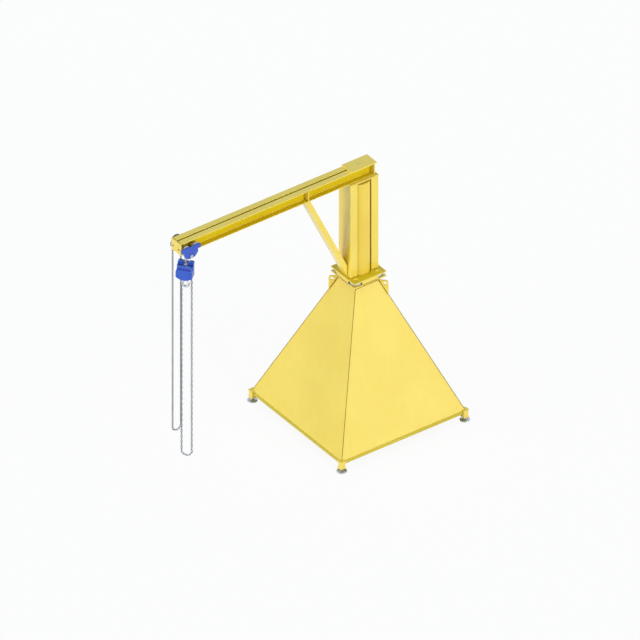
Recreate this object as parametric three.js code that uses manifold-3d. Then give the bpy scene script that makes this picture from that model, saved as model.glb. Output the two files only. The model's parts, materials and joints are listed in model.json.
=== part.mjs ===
// A free-standing slewing jib crane: a ballasted four-sided base on levelling feet, a fixed round
// mast, a slewing frame on guide rollers, a boom of two back-to-back channels with a brace, a
// geared trolley, and a hand chain hoist. Millimetres, +Z up, boom along +X at rest.
// The origin is on the floor, in the middle of the crane's length and width.

import * as THREE from 'three';
import { mergeVertices } from 'three/addons/utils/BufferGeometryUtils.js';
import { ConvexGeometry } from 'three/addons/geometries/ConvexGeometry.js';
import Module from 'manifold-3d';

const wasm = await Module();
wasm.setup();

// ---------------------------------------------------------------- driving dimensions

const gap = 0.3; // between neighbours that touch or are welded together
const cut = 2; // how far a cutting tool runs past the face that it opens
const bore = 0.5; // radial clearance of a shaft in its hole

// Levelling feet and their corner brackets
const footInset = 5; // from the base's outer face
const padRadius = 40;
const padHeight = 14;
const padEdge = 6;
const padNeck = 14;
const spindleRadius = 8;
const spindleTop = 82;
const nutAcross = 28;
const nutHeight = 10;
const bracketWidth = 40;
const bracketPlate = 50;
const bracketPlateThick = 8;
const bracketBottom = 32;

// Ballasted base
const baseWidth = 1150;
const baseBottom = 60;
const rimHeight = 30;
const rimThick = 8;
const floorThick = 6;
const shellInset = 3; // the sheets stand this far inside the rim
const shellTop = 1215;
const shellMargin = 18.6; // from the mast to the sheets' top edges
const sheetThick = 5;
const ballastInset = 8;
const capOverhang = 2.5;
const capThick = 6;

// Lifting lugs on two opposite corners
const lugProud = 76; // past the sheets' top corner, along the diagonal
const lugThick = 12;
const lugRound = 20;
const lugHoleRadius = 12.5;
const lugHoleInset = 26;

// Mast, and the king pin with its thrust collar on top
const mastRadius = 88.9;
const mastWall = 8;
const kingPinRadius = 7;
const kingPinHeadRadius = 12;
const kingPinHead = 2.5;
const kingPinNutRadius = 11;
const kingPinNut = 11;
const thrustRadius = 60;
const thrustHeight = 14; // from the mast's lid to the head plate

// Roller cage round the mast's foot
const cageMargin = 53; // from a roller's axle to the plates' edges
const cagePlate = 10;
const cageRise = 37; // from the sheets' top edges to the lower plate
const cageOpening = 28; // between the two plates
const cageHoleClearance = 5;
const cageStripLength = 150;
const cageStripThick = 8;
const rollerOffset = 8.1; // from the mast's side to an axle, along X and along Y
const rollerWidth = 26;
const rollerChamfer = 3;
const axleRadius = 10;
const axleHeadAcross = 28;
const axleHead = 8;

// Columns, head plate and brace
const columnHeight = 842;
const columnOffset = 41.1; // from the mast's side to a web's outer face
const columnInset = 22; // from a roller's axle to the flanges
const columnThick = 7;
const headPlateThick = 10;
const headPlateProud = 2.5; // past the columns
const braceRise = 45; // from the cage to where its centre line meets the column
const braceLean = 25; // degrees from vertical
const braceDepth = 42;
const braceWidth = 80;
const braceWall = 4;

// Boom
const boomOuter = 1685; // end of the channels
const boomInner = -100;
const boomHeight = 100;
const boomSlot = 15;
const channelWidth = 50;
const channelThick = 6;
const endPlateThick = 8;
const endPlateProud = 2.5; // past the channels
const endBoltRadius = 6;
const endBoltHead = 3;
const endBoltPlace = 36; // to each side of the middle
const endBoltDrop = 8; // below mid-height
const topPlateStart = -124;
const topPlateEnd = 112;
const topPlateWidth = 128;
const topPlateThick = 10;
const stiffenerThick = 8;
const stiffenerProud = 3;

// Geared trolley
const wheelStop = 1.3; // from the outer wheels to the end plate at rest
const sidePlateThick = 6;
const sidePlateOffset = 9.5; // from the channels to its inner face
const sidePlateHalf = 88;
const earRise = 18.4; // above the wheels' axles
const earHeight = 39;
const earLength = 24;
const lobeShoulder = 16; // above the load bar's middle
const lobeSlope = 37; // half-length where the underside starts to round
const lobeFoot = 18;
const lobeDrop = 22; // below the load bar's middle
const wheelRadius = 30;
const wheelBase = 88;
const wheelFlangeRadius = 36;
const wheelFlange = 6;
const wheelTread = 22;
const wheelAxleRadius = 7;
const wheelAxleHeadRadius = 10;
const wheelAxleHead = 4;
const sideClearance = 2; // between a wheel and the side plate
const loadBarDrop = 30.3; // below the boom
const loadBarRadius = 10;
const loadBarHead = 8;
const loadBarHeadAcross = 26;
const driveDrop = 22.6; // of the hand wheel's shaft, below the wheels' axles
const driveOffset = 46; // from the side plate's inner face to the hand wheel's middle
const driveRadius = 38.5; // of the hand wheel, at the chain's middle
const driveShaftRadius = 7;
const driveBossRadius = 13;

// Hand chains and their wheels
const chainRadius = 5;
const chainPitch = 25;
const driveChainLinks = 146;
const hoistChainLinks = 144;
const chainClearance = 0.8;
const grooveWidth = 20;
const cheekThick = 2;
const cheekRise = 7; // past the chain's middle

// Chain hoist, turned about its hook's axis. Its depth runs from the rear cover to the front cover.
const hoistTurn = 39; // degrees, from the boom towards the crane's left
const topHookInner = 15;
const topHookSection = 9;
const shankRadius = 6;
const shankCollar = 8.2;
const shankCollarHeight = 8;
const hoistDrop = 117; // from the load bar's middle to the body's top
const hoistHeight = 116;
const hoistHalfWidth = 64.5;
const hoistRound = 96; // radius of the underside
const shoulderDrop = 43;
const hoistCrown = 52; // half-width at the front cover's top
const lobeRise = 37;
const lobeMiddle = 42;
const lobeHalf = 20;
const lobeRound = 14;
const lobeBack = -44;
const lobeFront = 0;
const rearCoverBack = -56;
const frameBack = -13.4;
const frameFront = 20;
const frontCoverFront = 54;
const coverWall = 4;
const bandDrop = 5; // from the body's top to the groove across the front cover
const bandHeight = 24;
const bandDepth = 2.5;
const hoistWheelPlace = -30; // of the hand wheel's middle, from the hook's axis
const hoistWheelRadius = 39.5;
const hoistWheelDrop = 55;
const wheelShaftRadius = 7;
const exitWidth = 22; // of each slot that the hand chain leaves by
const sheaveRadius = 22;
const sheaveDrop = 50;
const sheaveCheek = 2.4;
const sheaveShaftRadius = 6;
const loadChainRadius = 4;
const loadChainDrop = 25;
const pocketHalf = 9;
const pocketDrop = 13;

// Load hook and the latches of both hooks
const loadHookDrop = 8; // from the hoist's underside to its shank
const loadHookReach = 50; // from the shank's top to the middle of its bowl
const loadHookRadius = 27;
const loadHookSection = 10;
const latchThick = 3;
const latchWidth = 10;
const latchBarrel = 3.5;
const topLatchLength = 15.5;
const loadLatchLength = 29;

// ---------------------------------------------------------------- derived places

const footPlace = baseWidth / 2 - footInset; // from the slewing axis, along X and along Y
const rimTop = baseBottom + rimHeight;
const sheetBottom = rimTop + gap;
const sheetHalf = baseWidth / 2 - shellInset;
const shellTopWidth = 2 * (mastRadius + shellMargin);
const sheetSlope = (sheetHalf - shellTopWidth / 2) / (shellTop - sheetBottom);
const sheetInside = sheetThick * Math.hypot(1, sheetSlope); // its thickness measured level
const bracketTop = sheetBottom + bracketPlateThick;
const lugReach = shellTopWidth / Math.SQRT2 + lugProud; // from the slewing axis

const rollerPlace = mastRadius + rollerOffset; // from the slewing axis, along X and along Y
const rollerRadius = Math.hypot(rollerPlace, rollerPlace) - mastRadius - gap;
const cageWidth = 2 * (rollerPlace + cageMargin);
const cageBottom = shellTop + cageRise;
const cageTop = cageBottom + 2 * cagePlate + cageOpening;
const cageMiddle = cageBottom + cagePlate + cageOpening / 2;
const columnSpan = 2 * (mastRadius + columnOffset); // over the two webs
const columnWidth = 2 * (rollerPlace - columnInset);
const columnTip = mastRadius * Math.SQRT1_2 + 2; // of the flanges, from the slewing axis
const headPlateBottom = cageTop + columnHeight;
const mastTop = headPlateBottom - thrustHeight;

const boomBottom = headPlateBottom + headPlateThick + gap;
const boomTop = boomBottom + boomHeight;
const boomSide = boomSlot / 2 + channelWidth; // from the boom's middle
const topPlateBottom = boomTop + gap;
const kingPinTop = topPlateBottom + topPlateThick + gap + kingPinHead;
const braceFoot = cageTop + braceRise;
const craneEnd = boomOuter + gap + endPlateThick + endBoltHead;
const craneStart = -(footPlace + padRadius);

const wheelHeight = boomBottom + channelThick + wheelRadius + gap;
const sidePlateFace = boomSide + sidePlateOffset;
const flangeOuter = sidePlateFace - sideClearance;
const treadOuter = flangeOuter - wheelFlange;
const trolleyPlace = boomOuter + gap - wheelStop - wheelFlangeRadius - wheelBase / 2;
const loadBarHeight = boomBottom - loadBarDrop;
const driveHeight = wheelHeight - driveDrop;
const drivePlace = sidePlateFace + driveOffset; // from the boom's middle
const pinionRadius = Math.hypot(wheelBase / 2, driveDrop) - wheelFlangeRadius - gap;

const topHookRadius = topHookInner + topHookSection;
const topHookHeight = loadBarHeight + loadBarRadius + gap - topHookInner;
const hoistTop = loadBarHeight - hoistDrop;
const hoistBottom = hoistTop - hoistHeight;
const hoistWheelHeight = hoistTop - hoistWheelDrop;
const sheaveHeight = hoistTop - sheaveDrop;
const pocketTop = hoistTop - pocketDrop;
const loadHookTop = hoistBottom - loadHookDrop;
const { degToRad } = THREE.MathUtils;

const sheetHalfAt = (height) => sheetHalf - sheetSlope * (height - sheetBottom);

const corners = [[1, 1], [-1, 1], [-1, -1], [1, -1]];

// ---------------------------------------------------------------- finishes

const finish = (color, metalness, roughness) => ({ color, metalness, roughness });
const yellow = finish(0xf2cf3a, 0.1, 0.45);
const blue = finish(0x2f55cf, 0.1, 0.4);
const zinc = finish(0xb9bcbe, 0.85, 0.35);
const steel = finish(0x8e9296, 0.8, 0.4);
const concrete = finish(0x9a968e, 0, 0.95);

// ---------------------------------------------------------------- helpers

/** A closed geometry as a solid that can be joined and cut. */
function toSolid(geometry) {
  const bare = geometry.clone();
  bare.deleteAttribute('normal');
  bare.deleteAttribute('uv');
  const merged = mergeVertices(bare, 1e-4);
  const index = merged.index.array;
  const triangles = [];
  for (let i = 0; i < index.length; i += 3) {
    const [a, b, c] = index.slice(i, i + 3);
    if (a !== b && b !== c && c !== a) triangles.push(a, b, c);
  }
  return new wasm.Manifold(new wasm.Mesh({
    numProp: 3,
    vertProperties: new Float32Array(merged.attributes.position.array),
    triVerts: new Uint32Array(triangles),
  }));
}

function toGeometry(solid) {
  const { vertProperties, triVerts } = solid.getMesh();
  const geometry = new THREE.BufferGeometry();
  geometry.setAttribute('position', new THREE.BufferAttribute(new Float32Array(vertProperties), 3));
  geometry.setIndex(new THREE.BufferAttribute(new Uint32Array(triVerts), 1));
  geometry.computeVertexNormals();
  return geometry;
}

const join = (first, ...others) => toGeometry(
  others.reduce((whole, other) => whole.add(toSolid(other)), toSolid(first)),
);

const cutFrom = (first, ...tools) => toGeometry(
  tools.reduce((whole, tool) => whole.subtract(toSolid(tool)), toSolid(first)),
);

function addMesh(group, name, geometry, look) {
  const mesh = new THREE.Mesh(geometry, new THREE.MeshStandardMaterial(look));
  mesh.name = name;
  group.add(mesh);
  return mesh;
}

/** A box between its low corner and its high corner. */
function box(low, high) {
  const size = high.map((value, i) => value - low[i]);
  const middle = high.map((value, i) => (value + low[i]) / 2);
  return new THREE.BoxGeometry(...size).translate(...middle);
}

/** A square plate, centred on the vertical axis, between two heights. */
const squarePlate = (width, bottom, top) => box(
  [-width / 2, -width / 2, bottom],
  [width / 2, width / 2, top],
);

/** A solid turned about the vertical axis, from [radius, height] pairs. */
function turned(profile, segments = 32) {
  const points = profile.map(([radius, height]) => new THREE.Vector2(radius, height));
  return new THREE.LatheGeometry(points, segments).rotateX(Math.PI / 2);
}

/** A ring turned about the vertical axis: the profile comes back to its first point. */
const turnedRing = (profile, segments) => turned([...profile, profile[0]], segments);

/** A cylinder about the vertical axis, between two heights. */
const rod = (radius, bottom, top, segments = 24) => turned(
  [[0, bottom], [radius, bottom], [radius, top], [0, top]],
  segments,
);

/** A hexagon head or nut about the vertical axis. */
const hexagon = (across, bottom, top) => rod(across / Math.sqrt(3), bottom, top, 6);

/** Turns a piece made about the vertical axis, so that its heights run along +X. */
const alongX = (geometry) => geometry.rotateY(Math.PI / 2);

/** Turns a piece made about the vertical axis, so that its heights run along +Y. */
const alongY = (geometry) => geometry.rotateX(-Math.PI / 2);

/** An outline in X and Z, made a plate that starts at some Y and is thick along +Y. */
function plateXZ(outline, start, thick, hole) {
  const shape = new THREE.Shape(outline.map(([x, z]) => new THREE.Vector2(x, z)));
  if (hole) shape.holes.push(new THREE.Path().absarc(...hole, 0, 2 * Math.PI));
  return new THREE.ExtrudeGeometry(shape, { depth: thick, bevelEnabled: false })
    .rotateX(Math.PI / 2)
    .translate(0, start + thick, 0);
}

/** An outline in Y and Z, made a plate that starts at some X and is thick along +X. */
const plateYZ = (outline, start, thick) => plateXZ(outline, -start - thick, thick)
  .rotateZ(Math.PI / 2);

/** Points on an arc about a centre, with angles in degrees from the first axis to the second. */
function arc([x, z], radius, from, to, steps = 6) {
  return Array.from({ length: steps + 1 }, (_, i) => {
    const angle = degToRad(from + (to - from) * i / steps);
    return [x + radius * Math.cos(angle), z + radius * Math.sin(angle)];
  });
}

/** A round bar that follows points in the XZ plane. */
function bentBar(points, radius, steps = 24, sides = 12) {
  const path = new THREE.CatmullRomCurve3(points.map(([x, z]) => new THREE.Vector3(x, 0, z)));
  const section = new THREE.Shape(
    arc([0, 0], radius, 0, 360 - 360 / sides, sides - 1).map(([x, y]) => new THREE.Vector2(x, y)),
  );
  return new THREE.ExtrudeGeometry(section, { steps, extrudePath: path });
}

/** The middle line of a hand chain: over its wheel at the origin, and down to a round end. */
class ChainLoop extends THREE.Curve {
  constructor(radius, length) {
    super();
    this.radius = radius;
    this.drop = (length - 2 * Math.PI * radius) / 2;
    this.arcSteps = 10;
    this.fallSteps = 3;
    this.steps = 2 * (this.arcSteps + this.fallSteps);
  }

  getUtoTmapping(u) {
    return u;
  }

  getPoint(t, target = new THREE.Vector3()) {
    const half = this.arcSteps + this.fallSteps;
    const step = (t - Math.floor(t)) * this.steps;
    const lower = step >= half;
    const along = lower ? step - half : step;
    const angle = Math.PI * Math.min(along / this.arcSteps, 1) + (lower ? Math.PI : 0);
    const fall = this.drop * Math.max(along - this.arcSteps, 0) / this.fallSteps;
    return target.set(
      this.radius * Math.cos(angle),
      0,
      this.radius * Math.sin(angle) + (lower ? fall - this.drop : -fall),
    );
  }
}

/** A hand chain as a plain closed loop in the XZ plane. */
function handChain(radius, links) {
  const loop = new ChainLoop(radius, links * chainPitch);
  return new THREE.TubeGeometry(loop, loop.steps, chainRadius, 8, true);
}

/** A grooved hand wheel about the vertical axis, centred on its groove. */
function handWheel(radius, segments = 32) {
  const floor = radius - chainRadius - chainClearance;
  const cheek = radius + cheekRise;
  const inner = grooveWidth / 2;
  const outer = inner + cheekThick;
  return turned([
    [0, -outer], [cheek, -outer], [cheek, -inner], [floor, -inner],
    [floor, inner], [cheek, inner], [cheek, outer], [0, outer],
  ], segments);
}

/** A spring latch in the XZ plane: a barrel at the origin and a tongue that stands up from it. */
const latch = (length) => join(
  alongY(rod(latchBarrel, -latchWidth / 2, latchWidth / 2, 12)),
  box([-latchThick / 2, -latchWidth / 2, 0], [latchThick / 2, latchWidth / 2, length]),
);

// ---------------------------------------------------------------- base

/** A block at one corner of the base. */
const cornerBlock = ([sideX, sideY], width, bottom, top) => squarePlate(width, bottom, top)
  .translate(sideX * footPlace, sideY * footPlace, 0);

/** A square frustum between two heights, given its half-width at each. */
const frustum = (lowHalf, bottom, highHalf, top) => new ConvexGeometry(
  corners.flatMap(([sideX, sideY]) => [
    new THREE.Vector3(sideX * lowHalf, sideY * lowHalf, bottom),
    new THREE.Vector3(sideX * highHalf, sideY * highHalf, top),
  ]),
);

/** One sloping side sheet, on the +X side, mitred to its neighbours. */
function sideSheet() {
  const mitre = gap / Math.SQRT2;
  const ends = [sheetBottom, shellTop].flatMap((height) => [0, sheetInside].flatMap((inset) => {
    const x = sheetHalfAt(height) - inset;
    return [-1, 1].map((side) => new THREE.Vector3(x, side * (x - mitre), height));
  }));
  const notches = [corners[0], corners[3]].map((corner) => cornerBlock(
    corner,
    bracketPlate + 2 * gap,
    sheetBottom - cut,
    bracketTop + gap,
  ));
  return cutFrom(new ConvexGeometry(ends), ...notches);
}

function buildBase() {
  const base = new THREE.Group();
  const half = baseWidth / 2;
  const inside = half - rimThick;
  addMesh(base, 'base_tray', cutFrom(
    squarePlate(2 * half, baseBottom, rimTop),
    squarePlate(2 * inside, baseBottom + floorThick, rimTop + cut),
    ...corners.map((corner) => cornerBlock(
      corner,
      bracketWidth + 2 * gap,
      baseBottom - cut,
      rimTop + cut,
    )),
  ), yellow);

  corners.forEach((corner, i) => {
    const bracket = join(
      cornerBlock(corner, bracketWidth, bracketBottom, bracketTop),
      cornerBlock(corner, bracketPlate, bracketBottom, bracketBottom + bracketPlateThick),
      cornerBlock(corner, bracketPlate, sheetBottom, bracketTop),
    );
    const hole = rod(spindleRadius + bore, bracketBottom - cut, spindleTop + gap)
      .translate(corner[0] * footPlace, corner[1] * footPlace, 0);
    addMesh(base, `corner_bracket_${i + 1}`, cutFrom(bracket, hole), yellow);

    const sheet = addMesh(base, `side_sheet_${i + 1}`, sideSheet(), yellow);
    sheet.rotation.z = i * Math.PI / 2;
  });

  const floor = baseBottom + floorThick + gap;
  const ballastTop = shellTop - gap;
  const betweenBrackets = footPlace - bracketPlate / 2 - gap;
  const ballastLow = Math.min(sheetHalfAt(floor) - ballastInset, betweenBrackets);
  addMesh(base, 'concrete_ballast', cutFrom(
    frustum(ballastLow - gap, floor, sheetHalfAt(ballastTop) - ballastInset, ballastTop),
    rod(mastRadius + gap, floor - cut, ballastTop + cut, 64),
  ), concrete);

  const capBottom = shellTop + gap;
  addMesh(base, 'cap_plate', cutFrom(
    squarePlate(shellTopWidth + 2 * capOverhang, capBottom, capBottom + capThick),
    rod(mastRadius + gap, capBottom - cut, capBottom + capThick + cut, 64),
  ), yellow);

  const edge = (height) => Math.SQRT2 * sheetHalfAt(height) + gap;
  const lugFoot = shellTop - (lugReach - edge(shellTop)) / (Math.SQRT2 * sheetSlope);
  const lugOutline = [
    [edge(shellTop), shellTop],
    [lugReach, lugFoot],
    ...arc([lugReach - lugRound, shellTop - lugRound], lugRound, 0, 90),
  ];
  const lugHole = [lugReach - lugHoleInset, shellTop - lugHoleInset, lugHoleRadius];
  [-45, 135].forEach((direction, i) => {
    const lug = addMesh(
      base,
      `lifting_lug_${i + 1}`,
      plateXZ(lugOutline, -lugThick / 2, lugThick, lugHole),
      yellow,
    );
    lug.rotation.z = degToRad(direction);
  });
  return base;
}

function buildFeet() {
  const feet = new THREE.Group();
  const nutTop = bracketBottom - gap;
  corners.forEach(([sideX, sideY], i) => {
    const foot = new THREE.Group();
    foot.position.set(sideX * footPlace, sideY * footPlace, 0);
    feet.add(foot);
    addMesh(foot, `foot_spindle_${i + 1}`, join(
      rod(spindleRadius, padHeight + gap, spindleTop, 16),
      hexagon(nutAcross, nutTop - nutHeight, nutTop),
    ), zinc);
    addMesh(foot, `foot_pad_${i + 1}`, turned([
      [0, 0], [padRadius, 0], [padRadius, padEdge], [padNeck, padHeight], [0, padHeight],
    ]), zinc);
  });
  return feet;
}

// ---------------------------------------------------------------- mast

function buildMast() {
  const mast = new THREE.Group();
  const foot = baseBottom + floorThick + gap;
  const inside = mastRadius - mastWall;
  const hole = kingPinRadius + bore;
  const lid = mastTop - mastWall;
  addMesh(mast, 'mast_tube', turnedRing([
    [inside, foot], [mastRadius, foot], [mastRadius, mastTop], [hole, mastTop],
    [hole, lid], [inside, lid],
  ], 64), yellow);

  const nutTop = lid - gap;
  addMesh(mast, 'king_pin', turned([
    [0, nutTop - kingPinNut], [kingPinNutRadius, nutTop - kingPinNut], [kingPinNutRadius, nutTop],
    [kingPinRadius, nutTop], [kingPinRadius, mastTop + gap],
    [thrustRadius, mastTop + gap], [thrustRadius, headPlateBottom - gap],
    [kingPinRadius, headPlateBottom - gap], [kingPinRadius, kingPinTop - kingPinHead],
    [kingPinHeadRadius, kingPinTop - kingPinHead], [kingPinHeadRadius, kingPinTop], [0, kingPinTop],
  ]), steel);
  return mast;
}

// ---------------------------------------------------------------- slewing frame

/** A plate of the roller cage, with its opening for the mast. */
const cagePlateAt = (bottom) => cutFrom(
  squarePlate(cageWidth, bottom, bottom + cagePlate),
  rod(mastRadius + cageHoleClearance, bottom - cut, bottom + cagePlate + cut, 48),
);

function buildRollerCage() {
  const cage = new THREE.Group();
  const atRollers = (make) => corners.map(([sideX, sideY]) => make()
    .translate(sideX * rollerPlace, sideY * rollerPlace, 0));
  const half = cageWidth / 2;
  const stripTop = cageTop - cagePlate - gap;
  const strips = [0, 1, 2, 3].map((quarter) => box(
    [half - cageStripThick, -cageStripLength / 2, cageBottom],
    [half, cageStripLength / 2, stripTop],
  ).rotateZ(quarter * Math.PI / 2));
  addMesh(cage, 'cage_lower_plate', join(
    cutFrom(
      cagePlateAt(cageBottom),
      ...atRollers(() => rod(axleRadius + bore, cageBottom - cut, cageMiddle, 16)),
    ),
    ...strips,
  ), yellow);

  addMesh(cage, 'cage_upper_plate', join(
    cagePlateAt(cageTop - cagePlate),
    ...atRollers(() => rod(axleRadius, cageBottom, cageTop, 16)),
    ...atRollers(() => hexagon(axleHeadAcross, cageTop - cut, cageTop + axleHead)),
  ), yellow);

  const low = -rollerWidth / 2;
  const high = rollerWidth / 2;
  const inside = axleRadius + bore;
  const rim = rollerRadius - rollerChamfer;
  corners.forEach(([sideX, sideY], i) => {
    const roller = addMesh(cage, `guide_roller_${i + 1}`, turnedRing([
      [inside, low], [rim, low], [rollerRadius, low + rollerChamfer],
      [rollerRadius, high - rollerChamfer], [rim, high], [inside, high],
    ], 36), zinc);
    roller.position.set(sideX * rollerPlace, sideY * rollerPlace, cageMiddle);
  });
  return cage;
}

/** A column channel on the +X side: its web faces out and its flanges face the mast. */
function columnChannel() {
  const web = columnSpan / 2;
  const side = columnWidth / 2;
  return cutFrom(
    box([columnTip, -side, cageTop + gap], [web, side, headPlateBottom - gap]),
    box(
      [columnTip - cut, -side + columnThick, cageTop - cut],
      [web - columnThick, side - columnThick, headPlateBottom + cut],
    ),
  );
}

/** The brace, from the column's web to the boom's underside, with its ends cut to fit. */
function braceTube() {
  const web = columnSpan / 2 + gap;
  const length = 2 * (boomTop - braceFoot) / Math.cos(degToRad(braceLean));
  const slanted = (depth, width) => new THREE.BoxGeometry(depth, width, length)
    .rotateY(degToRad(braceLean))
    .translate(columnSpan / 2, 0, braceFoot);
  const wide = braceWidth;
  return cutFrom(
    slanted(braceDepth, braceWidth),
    slanted(braceDepth - 2 * braceWall, braceWidth - 2 * braceWall),
    box([-length, -wide, braceFoot - length], [web, wide, braceFoot + length]),
    box([-length, -wide, boomBottom - gap], [length, wide, braceFoot + length]),
    box([-length, -wide, braceFoot - length], [length, wide, cageTop + gap]),
  );
}

function buildSlewingFrame() {
  const frame = new THREE.Group();
  frame.add(buildRollerCage());
  addMesh(frame, 'column_front', columnChannel(), yellow);
  addMesh(frame, 'column_rear', columnChannel(), yellow).rotation.z = Math.PI;
  const halfLength = columnSpan / 2 + headPlateProud;
  const halfWidth = columnWidth / 2 + headPlateProud;
  addMesh(frame, 'head_plate', cutFrom(
    box(
      [-halfLength, -halfWidth, headPlateBottom],
      [halfLength, halfWidth, headPlateBottom + headPlateThick],
    ),
    rod(kingPinRadius + bore, headPlateBottom - cut, boomBottom + cut),
  ), yellow);
  addMesh(frame, 'brace', braceTube(), yellow);
  return frame;
}

// ---------------------------------------------------------------- boom

/** Mirrors an outline in Y and Z to one side of the boom. */
const onSide = (side, outline) => outline.map(([y, z]) => [side * y, z]);

function buildBoom() {
  const boom = new THREE.Group();
  const web = boomSlot / 2;
  const tip = boomSide;
  const channel = [
    [web, boomBottom], [tip, boomBottom], [tip, boomBottom + channelThick],
    [web + channelThick, boomBottom + channelThick], [web + channelThick, boomTop - channelThick],
    [tip, boomTop - channelThick], [tip, boomTop], [web, boomTop],
  ];
  const floor = boomBottom + channelThick + gap;
  const roof = boomTop - channelThick - gap;
  const stiffener = [
    [web + channelThick + gap, floor], [tip + gap, floor], [tip + gap, boomBottom],
    [tip + stiffenerProud, boomBottom], [tip + stiffenerProud, boomTop], [tip + gap, boomTop],
    [tip + gap, roof], [web + channelThick + gap, roof],
  ];
  const lean = Math.tan(degToRad(braceLean));
  const stiffenerPlace = columnSpan / 2 + (boomBottom - braceFoot) * lean;
  [['left', 1], ['right', -1]].forEach(([name, side]) => {
    addMesh(
      boom,
      `boom_channel_${name}`,
      plateYZ(onSide(side, channel), boomInner, boomOuter - boomInner),
      yellow,
    );
    addMesh(
      boom,
      `stiffener_${name}`,
      plateYZ(onSide(side, stiffener), stiffenerPlace - stiffenerThick / 2, stiffenerThick),
      yellow,
    );
  });

  const half = boomSide + endPlateProud;
  const closing = (start) => box(
    [start, -half, boomBottom],
    [start + endPlateThick, half, boomTop],
  );
  const outerFace = boomOuter + gap + endPlateThick;
  const bolts = [-1, 1].map((side) => alongX(rod(endBoltRadius, outerFace - cut, craneEnd, 16))
    .translate(0, side * endBoltPlace, (boomBottom + boomTop) / 2 - endBoltDrop));
  addMesh(boom, 'boom_end_plate', join(closing(boomOuter + gap), ...bolts), yellow);
  addMesh(boom, 'boom_rear_plate', closing(boomInner - gap - endPlateThick), yellow);

  addMesh(boom, 'top_plate', cutFrom(
    box(
      [topPlateStart, -topPlateWidth / 2, topPlateBottom],
      [topPlateEnd, topPlateWidth / 2, topPlateBottom + topPlateThick],
    ),
    rod(kingPinRadius + bore, topPlateBottom - cut, kingPinTop + cut),
  ), yellow);
  return boom;
}

// ---------------------------------------------------------------- trolley

/** A side plate on the +Y side, with the stub axles of its two wheels. */
function sidePlate() {
  const earTop = wheelHeight + earRise;
  const earBottom = earTop - earHeight;
  const shoulder = sidePlateHalf - earLength;
  const half = [
    [sidePlateHalf, earTop], [sidePlateHalf, earBottom], [shoulder, earBottom],
    [shoulder, loadBarHeight + lobeShoulder], [lobeSlope, loadBarHeight - lobeShoulder],
    [lobeFoot, loadBarHeight - lobeDrop],
  ];
  const outline = [...half, ...half.map(([x, z]) => [-x, z]).reverse()];
  const outerFace = sidePlateFace + sidePlateThick;
  const axles = [-1, 1].flatMap((side) => [
    alongY(rod(wheelAxleRadius, treadOuter - wheelTread, outerFace, 16)),
    alongY(rod(wheelAxleHeadRadius, sidePlateFace, outerFace + wheelAxleHead, 16)),
  ].map((piece) => piece.translate(side * wheelBase / 2, 0, wheelHeight)));
  return join(
    plateXZ(outline, sidePlateFace, sidePlateThick, [0, loadBarHeight, loadBarRadius + gap]),
    ...axles,
  );
}

function buildTrolley() {
  const trolley = new THREE.Group();
  trolley.position.x = trolleyPlace;

  const outerFace = sidePlateFace + sidePlateThick;
  const wheelInside = drivePlace - grooveWidth / 2 - cheekThick;
  addMesh(trolley, 'side_plate_left', sidePlate(), blue);
  const boss = alongY(rod(driveBossRadius, -(wheelInside - sideClearance), -sidePlateFace))
    .translate(0, 0, driveHeight);
  const shaftHole = alongY(rod(driveShaftRadius + bore, -drivePlace, -sidePlateFace + cut))
    .translate(0, 0, driveHeight);
  addMesh(
    trolley,
    'side_plate_right',
    cutFrom(join(sidePlate().rotateZ(Math.PI), boss), shaftHole),
    blue,
  );

  const inside = wheelAxleRadius + bore;
  const wheel = turnedRing([
    [inside, treadOuter - wheelTread], [wheelRadius, treadOuter - wheelTread],
    [wheelRadius, treadOuter], [wheelFlangeRadius, treadOuter],
    [wheelFlangeRadius, flangeOuter], [inside, flangeOuter],
  ], 36);
  [[1, 1], [-1, 1], [-1, -1], [1, -1]].forEach(([sideX, sideY], i) => {
    const mesh = addMesh(trolley, `trolley_wheel_${i + 1}`, wheel.clone(), zinc);
    mesh.rotation.x = -sideY * Math.PI / 2;
    mesh.position.set(sideX * wheelBase / 2, 0, wheelHeight);
  });

  const headFace = outerFace + gap;
  addMesh(trolley, 'load_bar', join(
    alongY(rod(loadBarRadius, -headFace - loadBarHead, headFace + loadBarHead)),
    alongY(hexagon(loadBarHeadAcross, headFace, headFace + loadBarHead)),
    alongY(hexagon(loadBarHeadAcross, -headFace - loadBarHead, -headFace)),
  ).translate(0, 0, loadBarHeight), zinc);

  const drive = new THREE.Group();
  drive.position.set(0, 0, driveHeight);
  trolley.add(drive);
  addMesh(drive, 'drive_wheel', join(
    alongY(handWheel(driveRadius)).translate(0, -drivePlace, 0),
    alongY(rod(driveShaftRadius, -drivePlace, -treadOuter, 16)),
    alongY(rod(pinionRadius, -flangeOuter, -treadOuter)),
  ), zinc);
  addMesh(drive, 'drive_chain', handChain(driveRadius, driveChainLinks), zinc)
    .position.y = -drivePlace;
  return trolley;
}

// ---------------------------------------------------------------- hoist

/** The round underside that the hoist's pieces share, as points from right to left. */
function underside(inset = 0) {
  const half = hoistHalfWidth - inset;
  const radius = hoistRound - inset;
  const spread = THREE.MathUtils.radToDeg(Math.asin(half / radius));
  return arc([0, hoistBottom + hoistRound], radius, 270 + spread, 270 - spread, 12);
}

/** A piece of the hoist's body: an outline in Y and Z, from one depth to another. */
function bodyPiece(back, front, crown, inset = 0) {
  const half = hoistHalfWidth - inset;
  const shoulder = hoistTop - shoulderDrop;
  const outline = [
    ...underside(inset),
    [-half, shoulder], [-(crown - inset), hoistTop - inset],
    [crown - inset, hoistTop - inset], [half, shoulder],
  ];
  return plateYZ(outline, back, front - back);
}

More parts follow.
